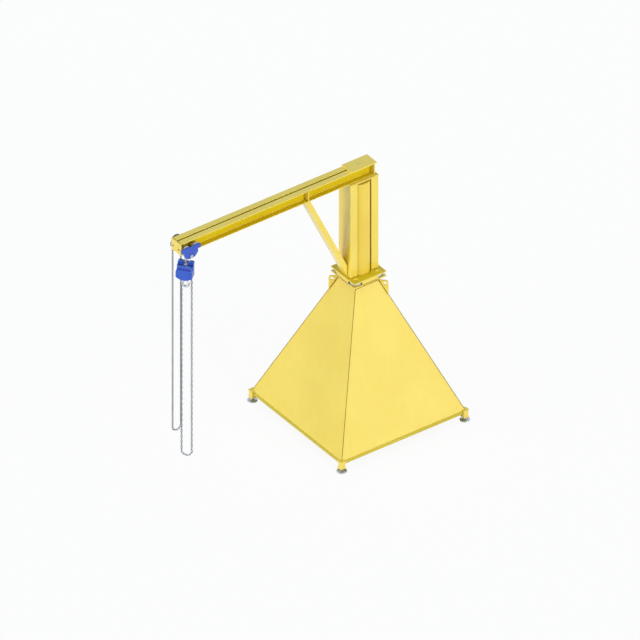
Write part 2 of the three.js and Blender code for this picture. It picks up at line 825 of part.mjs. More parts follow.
/** The two round ears on top of the body, from one depth to another. */
const ears = (back, front) => [-1, 1].map((side) => {
  const round = lobeHalf - lobeRound;
  const middle = hoistTop + lobeRise - lobeRound;
  const outline = [
    [-lobeHalf, hoistTop - cut], [lobeHalf, hoistTop - cut],
    ...arc([round, middle], lobeRound, 0, 90),
    ...arc([-round, middle], lobeRound, 90, 180),
  ];
  return plateYZ(outline, back, front - back).translate(0, side * lobeMiddle, 0);
});

/** Shafts along the hoist's depth, at some place across and some height. */
const shaft = (radius, back, front, across, height, sides = 16) => alongX(
  rod(radius, back, front, sides),
).translate(0, across, height);

function buildHoistBody(hoist) {
  const rearFront = frameBack - gap;
  const fullCrown = lobeMiddle + lobeHalf;
  const exits = [-1, 1].map((side) => box(
    [hoistWheelPlace - exitWidth / 2, -exitWidth / 2, hoistBottom - cut],
    [hoistWheelPlace + exitWidth / 2, exitWidth / 2, hoistWheelHeight],
  ).translate(0, side * hoistWheelRadius, 0));
  addMesh(hoist, 'rear_cover', cutFrom(
    join(bodyPiece(rearCoverBack, rearFront, fullCrown), ...ears(lobeBack, rearFront)),
    bodyPiece(rearCoverBack + coverWall, rearFront + cut, fullCrown, coverWall),
    ...exits,
  ), blue);

  const pocketFar = sheaveRadius * 2 + loadChainRadius + sheaveCheek * 2;
  addMesh(hoist, 'hoist_frame', cutFrom(
    join(bodyPiece(frameBack, frameFront, fullCrown), ...ears(frameBack, lobeFront)),
    box([-pocketHalf, -pocketHalf - cut, hoistBottom - cut], [pocketHalf, pocketFar, pocketTop]),
    rod(shankRadius + bore, pocketTop - cut, hoistTop + cut, 16),
    shaft(sheaveShaftRadius + bore, frameBack + cut, frameFront - cut, sheaveRadius, sheaveHeight),
    shaft(wheelShaftRadius + bore, frameBack - cut, -pocketHalf + cut, 0, hoistWheelHeight),
  ), blue);

  const frontBack = frameFront + gap;
  const band = box(
    [frontCoverFront - bandDepth, -hoistHalfWidth - cut, hoistTop - bandDrop - bandHeight],
    [frontCoverFront + cut, hoistHalfWidth + cut, hoistTop - bandDrop],
  );
  addMesh(hoist, 'front_cover', cutFrom(
    bodyPiece(frontBack, frontCoverFront, hoistCrown),
    bodyPiece(frontBack - cut, frontCoverFront - bandDepth - coverWall, hoistCrown, coverWall),
    band,
  ), blue);
}

function buildHoistInside(hoist) {
  const shaftFront = -pocketHalf - 1;
  const wheel = new THREE.Group();
  wheel.position.z = hoistWheelHeight;
  hoist.add(wheel);
  addMesh(wheel, 'hoist_wheel', join(
    alongX(handWheel(hoistWheelRadius)).translate(hoistWheelPlace, 0, 0),
    shaft(wheelShaftRadius, rearCoverBack + coverWall + gap, shaftFront, 0, 0),
  ), zinc);
  const chain = addMesh(wheel, 'hoist_chain', handChain(hoistWheelRadius, hoistChainLinks), zinc);
  chain.rotation.z = Math.PI / 2;
  chain.position.x = hoistWheelPlace;

  const groove = sheaveRadius - loadChainRadius - bore;
  const cheek = sheaveRadius + sheaveCheek;
  const inner = loadChainRadius + bore;
  const outer = inner + sheaveCheek;
  const sheave = turned([
    [0, -outer], [cheek, -outer], [cheek, -inner], [groove, -inner],
    [groove, inner], [cheek, inner], [cheek, outer], [0, outer],
  ]);
  const sheaveShaft = rod(sheaveShaftRadius, frameBack + cut + gap, frameFront - cut - gap, 16);
  const pair = addMesh(hoist, 'load_sheave', alongX(join(sheave, sheaveShaft)), steel);
  pair.position.set(0, sheaveRadius, sheaveHeight);

  const chainTop = hoistTop - loadChainDrop;
  addMesh(hoist, 'load_chain', rod(loadChainRadius, loadHookTop + gap, chainTop, 12), zinc);
}

/** The load hook, in the hoist's YZ plane, with its throat on the +Y side. */
function buildLoadHook(hoist) {
  const neck = loadHookTop - 1.5 * loadHookSection;
  const bowl = arc([0, loadHookTop - loadHookReach], loadHookRadius, 125, 375, 14);
  const hook = bentBar([[0, loadHookTop], [0, neck], ...bowl], loadHookSection, 28);
  addMesh(hoist, 'load_hook', hook, zinc).rotation.z = Math.PI / 2;

  const pivot = loadHookSection + gap + latchBarrel;
  const mesh = addMesh(hoist, 'load_hook_latch', latch(loadLatchLength), zinc);
  mesh.position.set(0, pivot, neck);
  mesh.rotation.set(Math.PI, 0, Math.PI / 2);
}

/** The top hook, in the trolley's XZ plane, round the load bar. */
function buildTopHook() {
  const top = new THREE.Group();
  top.position.x = trolleyPlace;
  const ring = arc([0, topHookHeight], topHookRadius, 270, 560, 18);
  const seat = hoistTop + gap;
  const shankBottom = pocketTop - gap;
  addMesh(top, 'top_hook', join(
    bentBar(ring, topHookSection, 28),
    rod(topHookSection, seat, topHookHeight - topHookRadius, 12),
    rod(shankRadius, shankBottom - shankCollarHeight, seat + cut, 16),
    rod(shankCollar, shankBottom - shankCollarHeight, shankBottom, 16),
  ), zinc);

  const pivot = topHookSection + gap + latchBarrel;
  const mesh = addMesh(top, 'top_hook_latch', latch(topLatchLength), zinc);
  mesh.position.set(-pivot, 0, topHookHeight - topHookRadius);
  return top;
}

function buildHoist() {
  const hoist = new THREE.Group();
  hoist.position.x = trolleyPlace;
  hoist.rotation.z = degToRad(hoistTurn);
  buildHoistBody(hoist);
  buildHoistInside(hoist);
  buildLoadHook(hoist);
  return hoist;
}

// ---------------------------------------------------------------- crane

const crane = new THREE.Group();
crane.position.x = -(craneStart + craneEnd) / 2;
crane.add(
  buildBase(),
  buildFeet(),
  buildMast(),
  buildSlewingFrame(),
  buildBoom(),
  buildTrolley(),
  buildTopHook(),
  buildHoist(),
);

export default crane;
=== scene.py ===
import json
import math

import bpy
from mathutils import Matrix, Vector


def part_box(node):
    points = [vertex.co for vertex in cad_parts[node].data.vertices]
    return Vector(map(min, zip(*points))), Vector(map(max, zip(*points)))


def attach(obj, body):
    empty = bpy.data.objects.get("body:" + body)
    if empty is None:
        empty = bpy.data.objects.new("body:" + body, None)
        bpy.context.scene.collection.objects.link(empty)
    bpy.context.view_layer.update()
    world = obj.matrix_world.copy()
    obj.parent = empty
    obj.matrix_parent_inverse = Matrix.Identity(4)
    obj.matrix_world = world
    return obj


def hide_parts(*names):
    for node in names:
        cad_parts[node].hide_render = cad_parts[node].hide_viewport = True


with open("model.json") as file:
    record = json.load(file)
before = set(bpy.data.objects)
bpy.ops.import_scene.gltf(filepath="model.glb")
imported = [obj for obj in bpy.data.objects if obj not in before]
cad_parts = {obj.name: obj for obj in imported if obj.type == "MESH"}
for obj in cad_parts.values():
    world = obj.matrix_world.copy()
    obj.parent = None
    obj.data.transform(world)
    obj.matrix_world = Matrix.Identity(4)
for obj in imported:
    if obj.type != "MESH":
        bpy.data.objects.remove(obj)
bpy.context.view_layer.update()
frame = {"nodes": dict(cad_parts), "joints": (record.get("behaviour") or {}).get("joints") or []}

# A ballasted jib crane for lifting engines, put together from its base upwards. Metres, +Z up,
# with the boom along +X. Sizes and places come from the frame's pieces and joints.

scene = bpy.context.scene
joints = {entry["name"]: entry for entry in frame["joints"]}


# ------------------------------------------------------------------ camera
# A parallel view from the boom's outer end and the crane's left, from above. It takes in the whole
# crane with a wide pale margin.

view_turn = math.radians(144)
view_rise = math.radians(35.26)
view_width = 4.8
view_distance = 9
view_back = Vector((
    math.sin(view_turn) * math.cos(view_rise),
    -math.cos(view_turn) * math.cos(view_rise),
    math.sin(view_rise),
))
slew_axis = Vector(joints["slew"]["pos_m"])
view_middle = Vector((slew_axis.x + 0.358, 0, 0.975))

camera = bpy.data.objects.new("camera", bpy.data.cameras.new("camera"))
camera.data.type = "ORTHO"
camera.data.ortho_scale = view_width
camera.location = view_middle + view_back * view_distance
camera.rotation_euler = (-view_back).to_track_quat("-Z", "Y").to_euler()
scene.collection.objects.link(camera)
scene.camera = camera
scene.view_settings.view_transform = "Standard"


# ------------------------------------------------------------------ hand chains
# Two endless hand chains of welded round-wire links, zinc plated. Links alternate flat and on
# edge, ride over a grooved wheel at the top, and hang in a free loop below it.

class Value:
    """A shader socket that is added, subtracted and multiplied as a number is."""

    def __init__(self, tree, socket):
        self.tree = tree
        self.socket = socket

    def node(self, kind, sockets, settings=(), output=0):
        """Any shader node: its settings are set first, then its sockets get values or links."""
        made = self.tree.nodes.new("ShaderNode" + kind)
        for name, setting in dict(settings).items():
            setattr(made, name, setting)
        for name, given in sockets.items():
            if isinstance(given, Value):
                self.tree.links.new(given.socket, made.inputs[name])
            else:
                made.inputs[name].default_value = given
        return Value(self.tree, made.outputs[output])

    def maths(self, operation, first, second):
        return self.node("Math", {0: first, 1: second}, {"operation": operation})

    def __add__(self, other):
        return self.maths("ADD", self, other)

    def __sub__(self, other):
        return self.maths("SUBTRACT", self, other)

    def __rsub__(self, other):
        return self.maths("SUBTRACT", other, self)

    def __mul__(self, other):
        return self.maths("MULTIPLY", self, other)

    __radd__ = __add__
    __rmul__ = __mul__

    def step(self, low, high):
        """A soft step from 0 to 1 as the value goes from low to high."""
        sockets = {"Value": self, "From Min": low, "From Max": high}
        return self.node("MapRange", sockets, {"interpolation_type": "SMOOTHSTEP"})

    def blend(self, off, on):
        """One colour where the value is 0, and another where it is 1."""
        return self.node("Mix", {0: self, 6: off, 7: on}, {"data_type": "RGBA"}, 2)

    def noise(self, scale, detail=2.0):
        return self.node("TexNoise", {"Vector": self, "Scale": scale, "Detail": detail})

    def bump(self, strength, depth):
        return self.node("Bump", {"Height": self, "Strength": strength, "Distance": depth})


class Finish:
    """A material, with the place on a piece that its patterns read."""

    def __init__(self, name):
        self.material = bpy.data.materials.new(name)
        self.material.use_nodes = True
        tree = self.material.node_tree
        self.shader = tree.nodes["Principled BSDF"]
        self.place = Value(tree, tree.nodes.new("ShaderNodeTexCoord").outputs["Object"])

    def set(self, socket, given):
        """Gives one of the shader's sockets a value or a link."""
        if isinstance(given, Value):
            given.tree.links.new(given.socket, self.shader.inputs[socket])
        else:
            self.shader.inputs[socket].default_value = given


def colour(card):
    """A colour card's hexadecimal code, as the linear colour that a shader takes."""
    parts = [int(card[i:i + 2], 16) / 255 for i in (0, 2, 4)]
    return [((part + 0.055) / 1.055) ** 2.4 for part in parts] + [1.0]


def plated(name, bright, dull, roughness):
    """Bright zinc plating: small crystals, a slow change of tone and fine handling marks."""
    finish = Finish(name)
    tone = finish.place.noise(14, 4).step(0.3, 0.7)
    grain = finish.place.node("TexVoronoi", {"Vector": finish.place, "Scale": 420}, output=1)
    crystal = finish.place.node("SeparateColor", {"Color": grain}, output=0)
    marks = finish.place.noise(160, 6).step(0.58, 0.75)
    finish.set("Base Color", (tone * 0.7 + crystal * 0.3).blend(bright, dull))
    finish.set("Metallic", 0.85)
    finish.set("Roughness", roughness + 0.1 * crystal + 0.18 * marks)
    finish.set("Normal", finish.place.noise(700, 3).bump(0.12, 0.0004))
    return finish.material


zinc = plated("zinc_plate", colour("c9ccd4"), colour("a3a7b0"), 0.26)
chain_zinc = plated("chain_zinc", colour("8f929c"), colour("666974"), 0.42)
hand_pitch = 0.025
hand_wire = 0.005
hand_width = 0.017
chain_half = 0.005  # half the thickness that the frame gives a hand chain


def clear_selection():
    for chosen in list(bpy.context.selected_objects):
        chosen.select_set(False)


def choose(piece):
    """Makes a piece the only selected one, ready for an operator."""
    clear_selection()
    piece.select_set(True)
    bpy.context.view_layer.objects.active = piece


def pick(piece, test):
    """In edit mode, selects the vertices whose place passes a test, and what they bound."""
    bpy.ops.object.mode_set(mode="OBJECT")
    for vertex in piece.data.vertices:
        vertex.select = test(vertex.co)
    for edge in piece.data.edges:
        edge.select = all(piece.data.vertices[i].select for i in edge.vertices)
    for face in piece.data.polygons:
        face.select = all(piece.data.vertices[i].select for i in face.vertices)
    bpy.ops.object.mode_set(mode="EDIT")


def named(name):
    """Names the piece that the last operator made."""
    piece = bpy.context.object
    piece.name = name
    piece.data.name = name
    return piece


def chain_link(name, pitch, wire, width):
    """One welded link, its length along X: a ring whose two halves are drawn apart."""
    clear_selection()
    bpy.ops.mesh.primitive_torus_add(
        major_segments=12, minor_segments=6,
        major_radius=(width - wire) / 2, minor_radius=wire / 2,
    )
    link = named(name)
    draw = (pitch + 2 * wire - width) / 2
    middle = wire / 20
    for side in (1, -1):
        bpy.ops.object.mode_set(mode="EDIT")
        pick(link, lambda co: side * co.x > middle)
        bpy.ops.transform.translate(value=(side * draw, 0, 0))
        bpy.ops.object.mode_set(mode="OBJECT")
    return link


def string_links(name, link, places):
    """Copies a link to each place, joins the copies into one chain, and removes the first."""
    copies = []
    for place in places:
        copy = bpy.data.objects.new(name, link.data.copy())
        copy.data.transform(place)
        scene.collection.objects.link(copy)
        copies.append(copy)
    clear_selection()
    for copy in copies:
        copy.select_set(True)
    bpy.context.view_layer.objects.active = copies[0]
    bpy.ops.object.join()
    chain = named(name)
    bpy.data.objects.remove(link)
    bpy.ops.object.shade_smooth()
    return chain


def fit(piece, body, slot, *materials):
    """Gives a finished piece its materials and the body that it rides on. The record slot is not
    used.
    """
    piece.data.materials.clear()
    for material in materials:
        piece.data.materials.append(material)
    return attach(piece, body)


def loop_place(radius, drop, distance):
    """The point and heading, some distance along a chain that hangs over a wheel at the origin."""
    half_turn = math.pi * radius
    for start, up in ((0, 0), (half_turn + drop, -drop)):
        along = distance - start
        turned = math.pi if start else 0
        if along < half_turn:
            angle = along / radius + turned
            place = (radius * math.cos(angle), radius * math.sin(angle) + up)
            return place, (-math.sin(angle), math.cos(angle))
        if along < half_turn + drop:
            fallen = along - half_turn
            return ((radius, fallen - drop), (0, 1)) if start else ((-radius, -fallen), (0, -1))


def hand_chain(node, pivot, across, body):
    """A hand chain in the upright plane of its wheel, from the frame's plain loop."""
    low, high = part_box(node)
    centre = Vector(((low.x + high.x) / 2, (low.y + high.y) / 2, pivot.z))
    radius = high.z - chain_half - pivot.z
    drop = pivot.z - radius - chain_half - low.z
    length = 2 * (math.pi * radius + drop)
    count = 2 * round(length / hand_pitch / 2)
    plane_normal = across.cross(Vector((0, 0, 1)))
    places, path = [], []
    for i in range(count):
        (along, up), (lead, rise) = loop_place(radius, drop, length * i / count)
        point = centre + across * along + Vector((0, 0, up))
        heading = across * lead + Vector((0, 0, rise))
        flat = plane_normal if i % 2 else heading.cross(plane_normal)
        turn = Matrix((heading, flat.cross(heading), flat)).transposed().to_4x4()
        places.append(Matrix.Translation(point) @ turn)
        path.append(point)
    link = chain_link(node + "_link", hand_pitch, hand_wire, hand_width)
    chain = string_links(node + "_links", link, places)
    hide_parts(node)
    path + path[:1]
    return fit(chain, body, "zinc_plate", chain_zinc)


hoist_depth = Vector(joints["hand_wheel_turn"]["axis"])
hoist_across = Vector((0, 0, 1)).cross(hoist_depth)
hand_chain("drive_chain", Vector(joints["drive_turn"]["pos_m"]), Vector((1, 0, 0)), "trolley")
hand_chain("hoist_chain", Vector(joints["hand_wheel_turn"]["pos_m"]), hoist_across, "hoist")


# ------------------------------------------------------------------ ballasted base
# A welded pyramid of four steel sheets on a shallow square tray, filled with concrete. The sheets
# are mitred at the corners, and a thin weld is laid in each mitre. Golden yellow enamel all over.

def enamel(name, fresh, shade, primer, chips, roughness=0.34, gloss=0.7, shine=0.5, painted_shade=None):
    """Sprayed enamel: uneven depth of colour, orange peel, light scuffs and a few small chips.

    Painted shade, a deeper colour that the coat takes near a place, is that colour, the place, and
    the distances where it starts to fade and where it ends."""
    finish = Finish(name)
    cloud = finish.place.noise(2.6, 3).step(0.25, 0.75)
    streak = finish.place.node("Mapping", {"Vector": finish.place, "Scale": (9, 9, 0.8)})
    run = streak.noise(3.5, 4).step(0.45, 0.8)
    chip = finish.place.noise(95, 5).step(chips, chips + 0.02)
    scuff = finish.place.noise(38, 7).step(0.6, 0.72)
    coat = (cloud * 0.65 + run * 0.35).blend(fresh, shade)
    # Painted shade: within reach of the place, the coat turns to the deeper colour.
    if painted_shade:
        stain_and_shade, source, near, far = painted_shade
        place = {0: finish.place, 1: source}
        away = finish.place.node("VectorMath", place, {"operation": "DISTANCE"}, 1)
        coat = (away + cloud * 0.01).step(near, far).blend(stain_and_shade, coat)
    finish.set("Base Color", chip.blend(coat, primer))
    finish.set("Roughness", roughness + 0.06 * cloud + 0.14 * scuff + 0.2 * chip)
    height = finish.place.noise(420, 2) * 0.6 - chip * 0.9
    finish.set("Normal", height.bump(0.1, 0.0006))
    finish.set("Coat Weight", gloss)
    finish.set("Specular IOR Level", shine)
    finish.set("Coat Roughness", 0.12)
    return finish.material


yellow_fresh = colour("f2d552")
yellow_shade = colour("eccb44")
primer_grey = colour("8b7a3a")
yellow = enamel("yellow_enamel", yellow_fresh, yellow_shade, primer_grey, 0.8)
yellow_edge = enamel("yellow_edge", colour("f6dc68"), yellow_fresh, primer_grey, 0.73, 0.4)
yellow_dull = enamel(
    "yellow_dull", colour("d2bb2e"), colour("c4ac22"), primer_grey, 0.78, 0.5, 0.1,
)
# Dark brown: the welds' own colour, and painted shade on the cap plate and the side strips' ends.
yellow_weld_and_shade = enamel(
    "yellow_weld_and_shade", colour("967208"), colour("7c5c06"), primer_grey, 0.8, 0.5, 0, 0.1,
)


def apply(piece, kind, **settings):
    """Adds a modifier and applies it."""
    modifier = piece.modifiers.new(kind.lower(), kind)
    for name, setting in settings.items():
        setattr(modifier, name, setting)
    choose(piece)
    bpy.ops.object.modifier_apply(modifier=modifier.name)


def smooth(piece, angle=35):
    choose(piece)
    bpy.ops.object.shade_smooth_by_angle(angle=math.radians(angle))


def ease_edges(piece, radius, segments=2, sharp=40):
    """Rounds a piece's sharp edges. The rounding takes the piece's second material."""
    apply(
        piece, "BEVEL", width=radius, segments=segments, limit_method="ANGLE",
        angle_limit=math.radians(sharp), use_clamp_overlap=False, material=1,
        miter_outer="MITER_ARC", harden_normals=False,
    )


def dressed(
    node, radius, body, surface=None, edge=None, segments=2, drawn_in=None,
):
    """A frame piece with whole faces and eased edges in place of its loose triangles.

    Its corners may be drawn in first, by a rule that takes and gives a place."""
    source = frame["nodes"][node]
    piece = bpy.data.objects.new(node + "_dressed", source.data.copy())
    scene.collection.objects.link(piece)
    piece.data.materials.clear()
    if drawn_in:
        for vertex in piece.data.vertices:
            vertex.co = drawn_in(vertex.co.copy())
    choose(piece)
    bpy.ops.object.mode_set(mode="EDIT")
    bpy.ops.mesh.select_all(action="SELECT")
    bpy.ops.mesh.remove_doubles(threshold=1e-5)
    bpy.ops.mesh.dissolve_limited(angle_limit=math.radians(0.5))
    bpy.ops.mesh.select_all(action="SELECT")
    bpy.ops.mesh.vert_connect_concave()
    bpy.ops.object.mode_set(mode="OBJECT")
    surface = surface or yellow
    piece.data.materials.append(surface)
    piece.data.materials.append(edge or yellow_edge)
    for face in piece.data.polygons:
        face.material_index = 0
    ease_edges(piece, radius, segments)
    smooth(piece)
    apply(piece, "WEIGHTED_NORMAL", weight=100, keep_sharp=True)
    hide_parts(node)
    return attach(piece, body)


def paint(piece, material, test):
    """Gives another material to the whole faces whose centre and normal pass a test."""
    piece.data.materials.append(material)
    for face in piece.data.polygons:
        if face.material_index == 0 and test(face.center, face.normal):
            face.material_index = len(piece.data.materials) - 1


def to_mesh(line, name):
    """Makes a curve a mesh, with its end caps joined to its sides."""
    choose(line)
    bpy.ops.object.convert(target="MESH")
    bpy.ops.object.mode_set(mode="EDIT")
    bpy.ops.mesh.select_all(action="SELECT")
    bpy.ops.mesh.remove_doubles(threshold=1e-6)
    bpy.ops.object.mode_set(mode="OBJECT")
    return named(name)


def weld(name, corners, radius, body, closed=False):
    """A weld bead along straight runs: a low ridge with the ripples that the torch leaves."""
    ripple = 0.0035
    ends = corners + corners[:1] if closed else corners
    points = []
    for start, end in zip(ends, ends[1:]):
        count = max(2, round((end - start).length / ripple))
        points += [start.lerp(end, i / count) for i in range(count)]
    points += [] if closed else ends[-1:]
    line = bpy.data.curves.new(name, "CURVE")
    line.dimensions = "3D"
    line.bevel_depth = radius
    line.bevel_resolution = 1
    line.use_fill_caps = True
    spline = line.splines.new("POLY")
    spline.points.add(len(points) - 1)
    spline.use_cyclic_u = closed
    for i, point in enumerate(points):
        spline.points[i].co = (*point, 1)
        spline.points[i].radius = 1.0 if i % 2 else 0.82
    bead = bpy.data.objects.new(name, line)
    scene.collection.objects.link(bead)
    bead = to_mesh(bead, name)
    smooth(bead, 60)
    return fit(bead, body, "yellow_paint", yellow_weld_and_shade)


dressed("base_tray", 0.002, "base", surface=yellow_dull, edge=yellow_dull)
for i in range(1, 5):
    dressed(f"side_sheet_{i}", 0.0016, "base")
    dressed(f"corner_bracket_{i}", 0.0025, "base", segments=3)
# The cap plate is dark brown all over: painted shade, for the shadowed gap under the cage's lower
# plate.
dressed("cap_plate", 0.0012, "base", surface=yellow_weld_and_shade, edge=yellow_weld_and_shade)

cap_low, cap_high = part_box("cap_plate")
sheet_low, sheet_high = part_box("side_sheet_1")
seam_foot = sheet_high.x - slew_axis.x - 0.0045
seam_head = (cap_high.x - cap_low.x) / 2 - 0.0008
seam_bead = 0.0026
cap_half = (cap_high.x - cap_low.x) / 2 - 0.0005
cap_bead = 0.0034


def square_corners(half, height):
    """The corners of a level square round the mast, from its half width and its height."""
    return [
        Vector((slew_axis.x + side_x * half, side_y * half, height))
        for side_x, side_y in ((1, 1), (-1, 1), (-1, -1), (1, -1))
    ]


seam_feet = square_corners(seam_foot, sheet_low.z + 0.012)
seam_heads = square_corners(seam_head, sheet_high.z - 0.004)
for i, seam in enumerate(zip(seam_feet, seam_heads), start=1):
    weld(f"base_seam_{i}", list(seam), seam_bead, "base")
weld("cap_weld", square_corners(cap_half, cap_low.z - 0.0005), cap_bead, "base", closed=True)


# ------------------------------------------------------------------ lifting lugs and ballast
# Two flame-cut plates with an eye, welded upright on opposite corners, and the poured concrete,
# which shows only where the base is open.

lug_heading = Vector((math.sqrt(0.5), -math.sqrt(0.5), 0))
lug_low, lug_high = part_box("lifting_lug_1")
lug_half = 0.006
lug_bead = 0.0024
for i, turn in ((1, 1), (2, -1)):
    dressed(f"lifting_lug_{i}", 0.0014, "base", segments=3)
    across = Vector((lug_heading.y, -lug_heading.x, 0)) * (lug_half + 0.0004)
    head = slew_axis + lug_heading * turn * (seam_head + 0.0013) * math.sqrt(2)
    head.z = lug_high.z - 0.004
    slope = (seam_foot - seam_head) / (sheet_high.z - sheet_low.z) * math.sqrt(2)
    fall = lug_high.z - lug_low.z - 0.012
    foot = head + Vector((0, 0, -fall)) + lug_heading * turn * slope * fall
    for side, label in ((1, "near"), (-1, "far")):
        run = [head + across * side, foot + across * side]
        weld(f"lug_weld_{i}_{label}", run, lug_bead, "base")


def cast(name, pale, dark):
    """Poured concrete: pale and dark patches, sand grains and small air holes."""
    finish = Finish(name)
    patch = finish.place.noise(6, 6).step(0.3, 0.7)
    grain = finish.place.noise(240, 5)
    holes = finish.place.noise(60, 2).step(0.68, 0.72)
    finish.set("Base Color", (patch * 0.6 + grain * 0.4).blend(pale, dark))
    finish.set("Roughness", 0.88 + 0.08 * grain)
    finish.set("Normal", (grain - holes * 2).bump(0.5, 0.002))
    return finish.material


concrete = cast("cast_concrete", colour("a6a29a"), colour("858178"))


def recoat(node, material):
    """Gives a frame piece that stays as it is another material."""
    frame["nodes"][node].data.materials.clear()
    frame["nodes"][node].data.materials.append(material)


recoat("concrete_ballast", concrete)


# ------------------------------------------------------------------ mast and king pin
# A thick round tube with a welded lid. The king pin is turned from bar, with a thrust collar under
# the head plate and a low head on top of the boom.

yellow_deep = enamel("yellow_deep", colour("eecd44"), colour("e4c038"), primer_grey, 0.8, 0.3, 0.4)
dressed("mast_tube", 0.0015, "base", surface=yellow_deep, edge=yellow_deep)


def turned_steel(name, bright, dull):
    """Machined steel with a thin film of oil: fine turning marks and a few darker stains."""
    finish = Finish(name)
    stain_and_shade = finish.place.noise(22, 5).step(0.45, 0.7)
    fine = finish.place.noise(900, 2)
    finish.set("Base Color", stain_and_shade.blend(bright, dull))
    finish.set("Metallic", 0.9)
    finish.set("Roughness", 0.28 + 0.12 * stain_and_shade + 0.1 * fine)
    finish.set("Normal", fine.bump(0.1, 0.0003))
    return finish.material


steel = turned_steel("turned_steel", colour("bcc0c4"), colour("90949a"))
oiled = turned_steel("oiled_steel", colour("c4c08c"), colour("a8a476"))
dressed("king_pin", 0.0008, "base", oiled, oiled)


# ------------------------------------------------------------------ levelling feet
# A forged round pad with a raised neck, and a threaded spindle with a hexagon nut that is locked
# against the bracket. Bright zinc plating.

def turned(name, place, profile, segments=48, closed=False):
    """A piece turned about an upright line: a ring is drawn up or down, and in or out, in steps.

    The profile is a list of (radius, height). A closed one comes back to its first ring."""
    first_radius, first_height = profile[0]
    clear_selection()
    bpy.ops.mesh.primitive_circle_add(
        vertices=segments, radius=first_radius, location=place + Vector((0, 0, first_height)),
    )
    piece = named(name)
    bpy.ops.object.transform_apply(location=True, rotation=True, scale=True)
    bpy.ops.object.mode_set(mode="EDIT")
    bpy.ops.mesh.select_all(action="SELECT")
    if not closed:
        bpy.ops.mesh.edge_face_add()
    steps = profile[1:] + profile[:1] if closed else profile[1:]
    radius, height = first_radius, first_height
    for next_radius, next_height in steps:
        bpy.ops.mesh.extrude_region_move()
        bpy.ops.transform.translate(value=(0, 0, next_height - height))
        bpy.ops.transform.resize(
            value=(next_radius / radius, next_radius / radius, 1),
            center_override=place + Vector((0, 0, next_height)),
        )
        radius, height = next_radius, next_height
    bpy.ops.mesh.select_all(action="SELECT")
    bpy.ops.mesh.remove_doubles(threshold=1e-6)
    bpy.ops.mesh.normals_make_consistent(inside=False)
    bpy.ops.object.mode_set(mode="OBJECT")
    return piece


def laid(piece, place, axis):
    """Turns a piece that was made upright at a place, so that its height runs along an axis."""
    turn = Vector((0, 0, 1)).rotation_difference(axis).to_matrix().to_4x4()
    piece.data.transform(Matrix.Translation(place) @ turn @ Matrix.Translation(-place))
    return piece


def hexagon(name, place, across, bottom, top):
    """A hexagon nut or head, with its corners turned off at both ends."""
    radius = across / math.sqrt(3)
    corner = 0.93
    height = top - bottom
    rise = 0.12 * across
    piece = turned(name, place, [
        (radius * corner * 0.97, bottom), (radius, bottom + min(rise, height / 3)),
        (radius, top - min(rise, height / 3)), (radius * corner * 0.97, top),
    ], 6)
    ease_edges(piece, across * 0.012, 1, 20)
    return piece


pad_low, pad_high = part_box("foot_pad_1")
pad_radius = (pad_high.x - pad_low.x) / 2
pad_height = pad_high.z
spindle_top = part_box("foot_spindle_1")[1].z
spindle_radius = 0.008
thread_pitch = 0.002
nut_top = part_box("corner_bracket_1")[0].z - 0.0003
nut_height = 0.01
nut_across = 0.028
pad_profile = [
    (pad_radius - 0.003, 0), (pad_radius - 0.0008, 0.0006), (pad_radius, 0.0022),
    (pad_radius, 0.0046), (pad_radius - 0.0008, 0.0062), (pad_radius - 0.004, 0.0076),
    (0.022, pad_height - 0.003), (0.018, pad_height - 0.002), (0.0165, pad_height),
    (0.013, pad_height + 0.0015), (0.0095, pad_height + 0.0015),
]
thread_steps = int((nut_top - nut_height - pad_height) / thread_pitch * 2)
thread_profile = [
    (spindle_radius - 0.0009 * (i % 2), pad_height + 0.0003 + i * thread_pitch / 2)
    for i in range(thread_steps)
]
for i in range(1, 5):
    foot_axis = Vector(joints[f"foot_turn_{i}"]["pos_m"])
    foot_axis.z = 0
    pad = turned(f"levelling_pad_{i}", foot_axis, pad_profile, 64)
    smooth(pad, 50)
    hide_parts(f"foot_pad_{i}")
    fit(pad, f"foot_{i}", "zinc_plate", zinc)
    spindle = turned(
        f"levelling_spindle_{i}", foot_axis,
        thread_profile + [(spindle_radius - 0.0006, spindle_top)], 32,
    )
    smooth(spindle, 30)
    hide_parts(f"foot_spindle_{i}")
    fit(spindle, f"foot_{i}", "zinc_plate", zinc)
    nut = hexagon(f"levelling_nut_{i}", foot_axis, nut_across, nut_top - nut_height, nut_top)
    smooth(nut, 30)
    fit(nut, f"foot_{i}", "zinc_plate", zinc, zinc)


# ------------------------------------------------------------------ roller cage
# Two square plates round the mast, held apart by side strips and four axle pins. A steel roller
# turns on each pin and runs on the mast. The plates and pin heads are painted with the frame.

cage_low, cage_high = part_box("cage_lower_plate")
plate_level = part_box("column_front")[0].z - 0.0003
plate_middle = Vector((slew_axis.x, 0, plate_level))
plate_half = (cage_high.x - cage_low.x) / 2
strip_half = 0.075
# A deeper gold on the upper plate's top within reach of the mast: painted shade round the foot of
# the mast and columns.
yellow_shade_near_mast = enamel(
    "yellow_shade_near_mast", colour("d2bb3c"), colour("c4ac2c"), primer_grey, 0.78, 0.5, 0.1,
    painted_shade=(colour("d8c008"), plate_middle, 0.165, 0.195),
)


def strip_end(centre, normal):
    """Whether a face is the flame-cut end of one of the cage's side strips."""
    places = sorted((abs(centre.x - slew_axis.x), abs(centre.y)))
    between = cage_low.z + 0.011 < centre.z < cage_high.z - 0.002
    return between and abs(places[0] - strip_half) < 0.002 and places[1] > plate_half - 0.02


